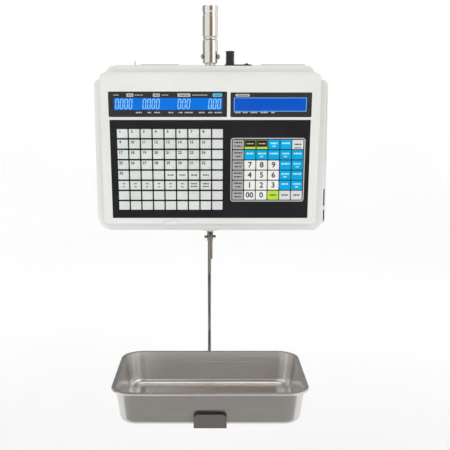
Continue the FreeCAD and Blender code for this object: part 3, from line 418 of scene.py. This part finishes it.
def add_frame(bm, face, outer, inner, radii, front, back, edge):
    """A flat frame between two rounded rectangles, with softened front edges."""
    outer_radius, inner_radius = radii
    rings = [
        ring_of(bm, face, outer, 0.0, outer_radius, back),
        ring_of(bm, face, outer, 0.0, outer_radius, front + edge),
        ring_of(bm, face, outer, edge, outer_radius, front),
        ring_of(bm, face, inner, -edge, inner_radius, front),
        ring_of(bm, face, inner, 0.0, inner_radius, front + edge),
        ring_of(bm, face, inner, 0.0, inner_radius, back),
    ]
    skin_rings(bm, rings, closed_loop=True)


def frame_piece(name, outer, inner, radii, front, back, material, face=FRONT, edge=0.15 * MM):
    bm = bmesh.new()
    add_frame(bm, face, outer, inner, radii, front, back, edge)
    return new_object(name, finish_mesh(bm, name), material)


def key_cells(limits, columns, rows, size):
    """The limits of every key of a grid, by column and row."""
    left, right, top, bottom = limits
    pitch_x = (right - left - size[0]) / (columns - 1)
    pitch_s = (bottom - top - size[1]) / (rows - 1)
    cells = {}
    for row in range(rows):
        for column in range(columns):
            x = left + column * pitch_x
            s = top + row * pitch_s
            cells[column, row] = (x, x + size[0], s, s + size[1])
    return cells


def glyphs(name, words, size, material, depth, bold=0.0, face=FRONT, thickness=0.06 * MM):
    """Digits on a face. Each word is (text, x, s) and is centred there."""
    bm = bmesh.new()
    for word, x, s in words:
        curve = bpy.data.curves.new(name + "_text", "FONT")
        curve.body = word
        curve.size = size
        curve.align_x = "CENTER"
        curve.align_y = "CENTER"
        curve.offset = bold
        curve.extrude = thickness / 2
        curve.resolution_u = 3
        holder = bpy.data.objects.new(name + "_text", curve)
        bpy.context.scene.collection.objects.link(holder)
        bpy.context.view_layer.update()
        mesh = bpy.data.meshes.new_from_object(holder.evaluated_get(bpy.context.evaluated_depsgraph_get()))
        bpy.data.objects.remove(holder)
        mesh.transform(Matrix.Translation(face.at(x, s, depth)) @ face.turn())
        bm.from_mesh(mesh)
        bpy.data.meshes.remove(mesh)
    bmesh.ops.remove_doubles(bm, verts=bm.verts, dist=1e-7)
    return new_object(name, finish_mesh(bm, name, smooth=False), material)


def chunks(limits, count, gap=0.28):
    """Break a bar into short marks of uneven length, which stand for a printed caption."""
    left, right, top, bottom = limits
    weights = [1.0 + 0.45 * math.sin(2.3 * index + count + 40 * left / MM) for index in range(count)]
    unit = (right - left) / (sum(weights) + gap * (count - 1))
    marks = []
    x = left
    for weight in weights:
        marks.append((x, x + weight * unit, top, bottom))
        x += (weight + gap) * unit
    return marks


def part_of(cell, x0, x1, s0, s1):
    """Part of a key's field, in fractions of its width and height."""
    left, right, top, bottom = cell
    width = right - left
    height = bottom - top
    return left + x0 * width, left + x1 * width, top + s0 * height, top + s1 * height


def middle(limits):
    left, right, top, bottom = limits
    return (left + right) / 2, (top + bottom) / 2


# Keyboard

SPEED_SIZE = (18.9 * MM, 16.0 * MM)
PAD_SIZE = (19.9 * MM, 16.9 * MM)
KEY_RADIUS = 0.9 * MM
KEY_FRONT = SKIN_FRONT - KEY_PROUD
INK_STEP = 0.05 * MM
INK_FRONT = KEY_FRONT - INK_STEP
INK_EDGE = 0.02 * MM
INK_RADIUS = 0.3 * MM
PRESET_NUMBER_SIZE = 7.0 * MM
PRESET_NUMBER_BOLD = 0.22 * MM
PRESET_NUMBER_PLACE = (5.4 * MM, 4.6 * MM)
DIGIT_KEY_SIZE = 14.0 * MM
DIGIT_KEY_BOLD = 0.38 * MM


def inked(name, marks, material, radius=INK_RADIUS, front=INK_FRONT):
    """Printed marks on the keys."""
    pads(name, marks, radius, front, KEY_FRONT, material, edge=INK_EDGE)


speed_cells = key_cells(FRONT.span("speed_keys", KEY_FRONT, SKIN_FRONT), 9, 8, SPEED_SIZE)
preset_cells = {place: limits for place, limits in speed_cells.items() if place[0] < 8}
plain_cells = {place: limits for place, limits in speed_cells.items() if place[0] == 8}
speed_keys = pads("speed_key_fields", preset_cells.values(), KEY_RADIUS, KEY_FRONT, SKIN_FRONT,
                  SPEED_KEY)
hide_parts("speed_keys")
pads("plain_key_fields", plain_cells.values(), KEY_RADIUS, KEY_FRONT, SKIN_FRONT, PALE_KEY)

preset_words = []
corner_marks = []
word_marks = []
for (column, row), limits in preset_cells.items():
    left, right, top, bottom = limits
    if row < 4 or (row == 4 and column == 0):
        preset_words.append((str(8 * row + column + 1), left + PRESET_NUMBER_PLACE[0],
                             top + PRESET_NUMBER_PLACE[1]))
        corner_marks.append(part_of(limits, 0.78, 0.86, 0.74, 0.84))
    elif row == 4 and column > 3:
        word_marks += chunks(part_of(limits, 0.22, 0.80, 0.42, 0.56), 2 + column % 3)
    elif row == 5 and column < 6:
        word_marks += chunks(part_of(limits, 0.38, 0.62, 0.26, 0.36), 1)
        word_marks += chunks(part_of(limits, 0.40, 0.58, 0.62, 0.72), 1)
    elif row == 5:
        word_marks += chunks(part_of(limits, 0.20, 0.80, 0.24, 0.38), 4)
        word_marks += chunks(part_of(limits, 0.20, 0.80, 0.56, 0.70), 5)
glyphs("preset_key_numbers", preset_words, PRESET_NUMBER_SIZE, LEGEND_DARK, INK_FRONT,
       bold=PRESET_NUMBER_BOLD)
inked("preset_key_corner_marks", corner_marks, CAPTION_CYAN)
inked("preset_key_captions", word_marks, LEGEND_DARK)

pad_cells = key_cells(FRONT.span("function_keys", KEY_FRONT, SKIN_FRONT), 6, 6, PAD_SIZE)


def key_kind(column, row):
    """Which colour a key of the function pad has."""
    if (column in (1, 2, 3) and row in (2, 3, 4)) or (column in (1, 2) and row == 5):
        return "number"
    if column == 3 and row == 5:
        return "lime"
    if row == 0 and column in (1, 2):
        return "olive"
    if column == 0:
        return "grey"
    if (row == 0 and column == 5) or (row == 5 and column > 3):
        return "pale"
    return "blue"


def cells_of(kind):
    return [limits for place, limits in pad_cells.items() if key_kind(*place) == kind]


KEY_FIELDS = {
    "number": ("number_key_fields", NUMBER_KEY, "number_key"),
    "blue": ("blue_key_fields", BLUE_KEY, "function_key"),
    "lime": ("lime_key_field", LIME_KEY, "function_key"),
    "olive": ("olive_key_fields", OLIVE_KEY, "function_key"),
    "grey": ("grey_key_fields", GREY_KEY, "function_key"),
    "pale": ("pale_key_fields", PALE_KEY, "function_key"),
}
for kind, (name, material, slot) in KEY_FIELDS.items():
    pads(name, cells_of(kind), KEY_RADIUS, KEY_FRONT, SKIN_FRONT, material)
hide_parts("number_keys")
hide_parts("function_keys")

number_words = []
for (column, row), word in {
        (1, 2): "7", (2, 2): "8", (3, 2): "9", (1, 3): "4", (2, 3): "5", (3, 3): "6",
        (1, 4): "1", (2, 4): "2", (3, 4): "3", (1, 5): "00", (2, 5): "0"}.items():
    x, s = middle(pad_cells[column, row])
    number_words.append((word, x, s))
glyphs("number_key_digits", number_words, DIGIT_KEY_SIZE, LEGEND_DARK, INK_FRONT,
       bold=DIGIT_KEY_BOLD)

blue_marks = []
dark_marks = []
lime_marks = []
black_marks = []
olive_marks = []
for (column, row), limits in pad_cells.items():
    kind = key_kind(column, row)
    shift = 0.05 * ((column + 2 * row) % 3 - 1)
    if kind == "blue":
        upper = part_of(limits, 0.16 - shift / 2, 0.84 + shift, 0.28, 0.44)
        blue_marks += chunks(upper, 3 + (column + row) % 3)
        if (column + row) % 2:
            blue_marks += chunks(part_of(limits, 0.36, 0.64, 0.62, 0.74), 2)
    elif kind == "grey":
        dark_marks += chunks(part_of(limits, 0.14, 0.86, 0.20, 0.36), 4 + row % 2)
        dark_marks += chunks(part_of(limits, 0.20 + shift, 0.80 - shift, 0.60, 0.74), 3)
    elif kind == "olive":
        black_marks.append(part_of(limits, 0.06, 0.94, 0.08, 0.70))
        lime_marks.append(part_of(limits, 0.02, 0.98, 0.78, 0.97))
        olive_marks += chunks(part_of(limits, 0.20, 0.80, 0.34, 0.46), 4)
    elif kind != "number":
        dark_marks += chunks(part_of(limits, 0.20, 0.80, 0.40, 0.56), 4)
        if row == 0:
            dark_marks += chunks(part_of(limits, 0.20, 0.80, 0.80, 0.92), 5)
STRIP_RADIUS = 0.4 * MM
RAISED_INK_FRONT = INK_FRONT - INK_STEP
inked("pad_dark_legends", dark_marks, LEGEND_DARK, STRIP_RADIUS)
inked("pad_pale_legends", blue_marks, LEGEND_PALE, front=RAISED_INK_FRONT)
inked("pad_lime_strips", lime_marks, LIME_KEY, STRIP_RADIUS)
inked("pad_black_fields", black_marks, OVERLAY, STRIP_RADIUS)
inked("pad_olive_legends", olive_marks, LEGEND_OLIVE, front=RAISED_INK_FRONT)


def around(cells, margin):
    """The limits of a group of cells with a margin round them."""
    cells = list(cells)
    return (min(cell[0] for cell in cells) - margin, max(cell[1] for cell in cells) + margin,
            min(cell[2] for cell in cells) - margin, max(cell[3] for cell in cells) + margin)


FRAME_MARGIN = 1.6 * MM
FRAME_WIDTH = 2.0 * MM
FRAME_RADII = (5.0 * MM, 3.2 * MM)
FRAME_PROUD = 0.3 * MM
frame_outer = around(pad_cells.values(), FRAME_MARGIN + FRAME_WIDTH)
frame_inner = around(pad_cells.values(), FRAME_MARGIN)
frame_piece("pad_frame", frame_outer, frame_inner, FRAME_RADII, SKIN_FRONT - FRAME_PROUD, SKIN_FRONT,
            CAPTION_GREY)


# Displays

WINDOW_DEPTH = 2.4 * MM
PANE_SETBACK = 0.5 * MM
SEGMENT_PROUD = 0.12 * MM
DIGIT_PITCH = 7.95 * MM
DIGIT_WIDTH = 4.7 * MM
DIGIT_HEIGHT = 16.6 * MM
DIGIT_STROKE = 1.4 * MM
DIGIT_SLANT = math.tan(math.radians(5.0))
SEGMENT_GAP = 0.25 * MM
POINT_OFFSET = 1.7 * MM
POINT_HALF = 0.6 * MM
POINT_STROKE = 1.1 * MM
WINDOW_RADIUS = 2.0 * MM
PANE_RADIUS = 0.8 * MM
PANE_SOFT_EDGE = 0.05 * MM


def add_segment(bm, face, start, finish, stroke, depth):
    """One bar of a digit, with pointed ends."""
    (x0, s0), (x1, s1) = start, finish
    length = math.hypot(x1 - x0, s1 - s0)
    along = ((x1 - x0) / length, (s1 - s0) / length)
    side = (-along[1] * stroke / 2, along[0] * stroke / 2)
    tip = stroke / 2
    inner_start = (x0 + along[0] * tip, s0 + along[1] * tip)
    inner_end = (x1 - along[0] * tip, s1 - along[1] * tip)
    outline = [start, (inner_start[0] + side[0], inner_start[1] + side[1]),
               (inner_end[0] + side[0], inner_end[1] + side[1]), finish,
               (inner_end[0] - side[0], inner_end[1] - side[1]),
               (inner_start[0] - side[0], inner_start[1] - side[1])]
    levels = (depth, depth - SEGMENT_PROUD)
    rings = [[bm.verts.new(face.at(x, s, level)) for x, s in outline] for level in levels]
    skin_rings(bm, rings, closed_loop=False)
    bm.faces.new(rings[1])
    bm.faces.new(list(reversed(rings[0])))


def add_zeros(bm, face, left, top, decimals, whole, depth):
    """A reading of zeros with its decimal point."""
    gap = SEGMENT_GAP
    for place in range(whole + decimals):
        x0 = left + place * DIGIT_PITCH
        x1 = x0 + DIGIT_WIDTH
        s0, s1, s2 = top, top + DIGIT_HEIGHT / 2, top + DIGIT_HEIGHT
        lean = [DIGIT_SLANT * (s2 - s) for s in (s0, s1, s2)]
        ends = [
            ((x0 + lean[0] + gap, s0), (x1 + lean[0] - gap, s0)),
            ((x0 + lean[2] + gap, s2), (x1 + lean[2] - gap, s2)),
        ]
        for x in (x0, x1):
            ends.append(((x + lean[0], s0 + gap), (x + lean[1], s1 - gap)))
            ends.append(((x + lean[1], s1 + gap), (x + lean[2], s2 - gap)))
        for start, finish in ends:
            add_segment(bm, face, start, finish, DIGIT_STROKE, depth)
        if place == whole - 1:
            x = x1 + POINT_OFFSET
            add_segment(bm, face, (x - POINT_HALF, s2), (x + POINT_HALF, s2), POINT_STROKE, depth)


def make_display(name, node, face, pane_limits, front, pane_material, readings):
    """A black printed window with its lit pane and the digits on it."""
    low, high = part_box(node)
    if face is FRONT:
        limits = face.span(node, front, front + WINDOW_DEPTH)
    else:
        limits = (-high.x, -low.x, 0.0, high.z - low.z)
    back = front + WINDOW_DEPTH
    window = frame_piece(name + "_mask", limits, pane_limits, (WINDOW_RADIUS, PANE_RADIUS), front, back,
                         WINDOW_BLACK, face)
    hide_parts(node)
    pane_front = front + PANE_SETBACK
    pads(name + "_pane", [pane_limits], PANE_RADIUS, pane_front, back, pane_material, face,
         edge=PANE_SOFT_EDGE)
    if readings:
        bm = bmesh.new()
        for left, top, whole, decimals in readings:
            add_zeros(bm, face, left, top, decimals, whole, pane_front)
        new_object(name + "_digits", finish_mesh(bm, name + "_digits", smooth=False), LCD_SEGMENT)


DIGITS_TOP = -37.4 * MM
WEIGHT_PANE = (-170.5 * MM, 21.5 * MM, -39.6 * MM, -18.4 * MM)
make_display("weight_display", "operator_window", FRONT, WEIGHT_PANE, SKIN_FRONT, LCD_BLUE,
             [(-168.0 * MM, DIGITS_TOP, 1, 3), (-119.5 * MM, DIGITS_TOP, 1, 3),
              (-57.5 * MM, DIGITS_TOP, 1, 2), (-3.0 * MM, DIGITS_TOP, 1, 2)])

ALPHA_PANE = (42.0 * MM, 171.5 * MM, -40.4 * MM, -15.4 * MM)
make_display("alpha_display", "alpha_window", FRONT, ALPHA_PANE, SKIN_FRONT, LCD_DEEP, [])
PANE_EDGE = 1.4 * MM
PANE_EDGE_INNER_RADIUS = 0.5 * MM
PANE_EDGE_THICKNESS = 0.1 * MM
pane_front = SKIN_FRONT + PANE_SETBACK
pane_left, pane_right, pane_top, pane_bottom = ALPHA_PANE
lit_edge_inner = (pane_left + PANE_EDGE, pane_right - PANE_EDGE,
                  pane_top + PANE_EDGE, pane_bottom - PANE_EDGE)
frame_piece("alpha_display_edge", ALPHA_PANE, lit_edge_inner, (PANE_RADIUS, PANE_EDGE_INNER_RADIUS),
            pane_front - PANE_EDGE_THICKNESS, pane_front, LCD_EDGE, edge=0.03 * MM)

CUSTOMER_FRONT = 0.0
CUSTOMER_PANE = (-100.0 * MM, 100.0 * MM, 11.0 * MM, 41.0 * MM)
CUSTOMER_DIGITS_TOP = 18.5 * MM
make_display("customer_display", "customer_window", REAR, CUSTOMER_PANE, CUSTOMER_FRONT, LCD_BLUE,
             [(-95.0 * MM, CUSTOMER_DIGITS_TOP, 1, 3), (-28.0 * MM, CUSTOMER_DIGITS_TOP, 1, 3),
              (45.0 * MM, CUSTOMER_DIGITS_TOP, 1, 2)])


# Printed marks of the displays: plain boxes and short bars, with no words

PRINT_THICKNESS = 0.04 * MM
PRINT_FRONT = SKIN_FRONT - PRINT_THICKNESS
WORD_RADIUS = 0.2 * MM
LABEL_RADIUS = 1.0 * MM
PILL_RADIUS = 2.0 * MM


def row_of(spans, top, bottom):
    """Boxes of one row, from pairs of left edge and width in millimetres."""
    return [(left * MM, (left + width) * MM, top * MM, bottom * MM) for left, width in spans]


def words_of(spans, top, bottom):
    """Short bars of one row, from a left edge, a width and a count of bars."""
    marks = []
    for left, width, count in spans:
        marks += chunks(row_of([(left, width)], top, bottom)[0], count)
    return marks


def printed(name, cells, material, radius):
    """Ink on a window."""
    pads(name, cells, radius, PRINT_FRONT, SKIN_FRONT, material, edge=0.02 * MM)


def overprinted(name, cells):
    """Dark ink on top of printed boxes."""
    pads(name, cells, WORD_RADIUS, PRINT_FRONT - PRINT_THICKNESS, PRINT_FRONT, LEGEND_DARK,
         edge=0.01 * MM)


CAPTION_BOXES = [(-148.0, 12.4), (-101.2, 12.4), (-57.6, 22.8)]
CAPTION_BOX_LAST = [(4.6, 16.4)]
CAPTIONS = [(-171.0, 9.0, 3), (-133.0, 14.0, 4), (-85.0, 11.0, 3), (-31.5, 27.0, 7)]
BOX_CAPTIONS = [(-145.6, 7.6, 2), (-98.8, 7.6, 2), (-54.0, 15.6, 4), (7.6, 10.4, 3)]
STATUS_WORDS = [
    (-132.0, 10.5, 3), (-111.0, 6.0, 2), (-99.0, 10.0, 3), (-74.0, 8.5, 3), (-56.0, 7.0, 2),
    (-45.0, 14.0, 4), (-20.0, 10.5, 3), (-3.5, 7.5, 2), (8.0, 13.0, 4),
    (44.0, 10.0, 3), (58.0, 8.5, 3), (71.5, 12.5, 4), (89.5, 13.0, 4), (108.5, 6.0, 1),
]
printed("caption_boxes", row_of(CAPTION_BOXES, -47.6, -41.6), CAPTION_GREY, LABEL_RADIUS)
printed("caption_box_last", row_of(CAPTION_BOX_LAST, -47.6, -41.6), CAPTION_CYAN, LABEL_RADIUS)
printed("caption_marks", words_of(CAPTIONS, -45.6, -43.8), LEGEND_GREY, WORD_RADIUS)
overprinted("caption_box_marks", words_of(BOX_CAPTIONS, -45.4, -43.8))
printed("status_marks", words_of(STATUS_WORDS, -15.0, -12.9), MARK_WHITE, WORD_RADIUS)
printed("status_pill", row_of([(44.6, 25.6)], -46.6, -42.0), CAPTION_GREY, PILL_RADIUS)
overprinted("status_pill_marks", words_of([(49.0, 16.8, 5)], -45.0, -43.6))


# Camera and light

CAMERA_PLACE = (0.0, -1.438, -0.1896)
CAMERA_PITCH = 8.75
SENSOR = 36.0
LENS = 60.16
CENTRE_SHIFT = 0.0331

camera_data = bpy.data.cameras.new("camera")
camera_data.sensor_width = SENSOR
camera_data.lens = LENS
camera_data.shift_x = CENTRE_SHIFT
camera = bpy.data.objects.new("camera", camera_data)
camera.location = CAMERA_PLACE
camera.rotation_euler = (math.radians(90 - CAMERA_PITCH), 0, 0)
bpy.context.scene.collection.objects.link(camera)
bpy.context.scene.camera = camera

FLOOR_DROP = 0.35
FLOOR_RADIUS = 2.6
SWEEP_RADIUS = 1.2
WALL_HEIGHT = 4.5
ROOM_SIDES = 96


# The floor glows least near the object and most at the wall: the dim floor round the object is a painted
# shadow.
PAINTED_SHADOW_GLOW = 0.13
WALL_GLOW = 0.29
GLOW_START = 1.0
GLOW_FULL = 2.4
WORLD_STRENGTH = 0.2
FLOOR_GREY = (0.88, 0.88, 0.88)


def studio():
    """A round pale room: a floor that sweeps up into a wall, which glows more than the floor does. The glow
    grows with the distance from the object, so the floor round the object is darker: a painted shadow pool
    under it.
    """
    floor_z = cad_bounds[0][2] - FLOOR_DROP
    profile = [(FLOOR_RADIUS, 0.0)]
    steps = 8
    for step in range(1, steps + 1):
        angle = math.radians(90 * step / steps)
        profile.append((FLOOR_RADIUS + SWEEP_RADIUS * math.sin(angle), SWEEP_RADIUS * (1 - math.cos(angle))))
    profile.append((FLOOR_RADIUS + SWEEP_RADIUS, WALL_HEIGHT))
    bm = bmesh.new()
    rings = []
    for radius, rise in profile:
        turns = [2 * math.pi * side / ROOM_SIDES for side in range(ROOM_SIDES)]
        rings.append([bm.verts.new((radius * math.cos(turn), radius * math.sin(turn), floor_z + rise))
                      for turn in turns])
    bm.faces.new(rings[0])
    skin_rings(bm, rings, closed_loop=False)
    mesh = finish_mesh(bm, "studio_floor")
    shader = Shader("studio_white_painted_shadow")
    shader.colour(shader.mottled(shader.noise(1.5, 1.0), FLOOR_GREY, 0.86 / 0.88, 1.0))
    shader.set(Roughness=0.9, Emission_Color=rgba(1, 1, 1))
    # Glow that grows with the distance from the origin, which paints a shadow pool on the floor under the
    # object.
    glow = shader.reach(GLOW_START, GLOW_FULL, PAINTED_SHADOW_GLOW, WALL_GLOW)
    shader.link(glow, shader.surface.inputs["Emission Strength"])
    mesh.materials.append(shader.material)
    floor = bpy.data.objects.new("studio_floor", mesh)
    bpy.context.scene.collection.objects.link(floor)


def card(name, centre, target, size, colour, glow=0.0):
    """A panel out of the camera's sight that bright metal reflects."""
    bm = bmesh.new()
    bmesh.ops.create_grid(bm, x_segments=1, y_segments=1, size=0.5)
    mesh = finish_mesh(bm, name, smooth=False)
    shader = Shader(name)
    shader.colour(shader.mottled(shader.noise(3.0, 1.0), colour, 1.0, 1.1))
    shader.set(Roughness=0.8, Emission_Color=rgba(1, 1, 1), Emission_Strength=glow)
    mesh.materials.append(shader.material)
    panel = bpy.data.objects.new(name, mesh)
    panel.location = centre
    panel.scale = (size[0], size[1], 1)
    facing = Vector(target) - Vector(centre)
    panel.rotation_euler = facing.to_track_quat("Z", "Y").to_euler()
    panel.visible_camera = False
    panel.visible_shadow = False
    panel.visible_diffuse = False
    bpy.context.scene.collection.objects.link(panel)


def softbox(name, place, target, size, power, mirrored=True):
    """A soft rectangular light. One that isn't mirrored leaves no highlight on bright metal."""
    light = bpy.data.lights.new(name, "AREA")
    light.shape = "RECTANGLE"
    light.size, light.size_y = size
    light.energy = power
    lamp = bpy.data.objects.new(name, light)
    lamp.location = place
    lamp.visible_glossy = mirrored
    lamp.rotation_euler = (Vector(target) - Vector(place)).to_track_quat("-Z", "Y").to_euler()
    bpy.context.scene.collection.objects.link(lamp)


HEAD = (0, 0, -0.3)
HEAD_FOOT = (0, 0, -0.4)
PAN = (0, 0, -0.7)
card("tube_card", (0.345, -1.2, 0.3), (0, 0, 0.3), (1.1, 1.1), (0.30, 0.215, 0.15))
card("tube_edge_card", (-1.5, 0.5, 0.0), (0, 0, 0), (0.9, 1.2), (0.10, 0.09, 0.08))
card("low_card", (0.0, -0.85, -1.11), (0.0, -0.85, 0), (1.5, 1.3), (0.30, 0.29, 0.28))
card("rear_card", (0.0, 2.2, 0.2), PAN, (3.0, 1.1), (0.12, 0.12, 0.12))
card("left_card", (-1.6, -0.6, -0.6), PAN, (0.5, 0.9), (0.8, 0.8, 0.8), glow=0.5)
card("right_card", (1.6, -0.6, -0.6), PAN, (0.5, 0.9), (0.8, 0.8, 0.8), glow=0.5)
studio()
softbox("key_light", (-1.4, -1.8, 1.3), HEAD, (1.4, 1.4), 12, mirrored=False)
softbox("fill_light", (1.8, -1.5, 0.4), HEAD_FOOT, (1.6, 1.6), 6.5)
softbox("top_light", (0.0, 0.3, 2.0), HEAD, (1.8, 1.2), 13.5)
softbox("back_light", (0.6, 2.0, 0.9), HEAD_FOOT, (1.4, 1.4), 7)

world = bpy.data.worlds.new("studio_sky")
world.use_nodes = True
world.node_tree.nodes["Background"].inputs["Color"].default_value = rgba(1, 1, 1)
world.node_tree.nodes["Background"].inputs["Strength"].default_value = WORLD_STRENGTH
bpy.context.scene.world = world
bpy.context.scene.view_settings.view_transform = "Standard"
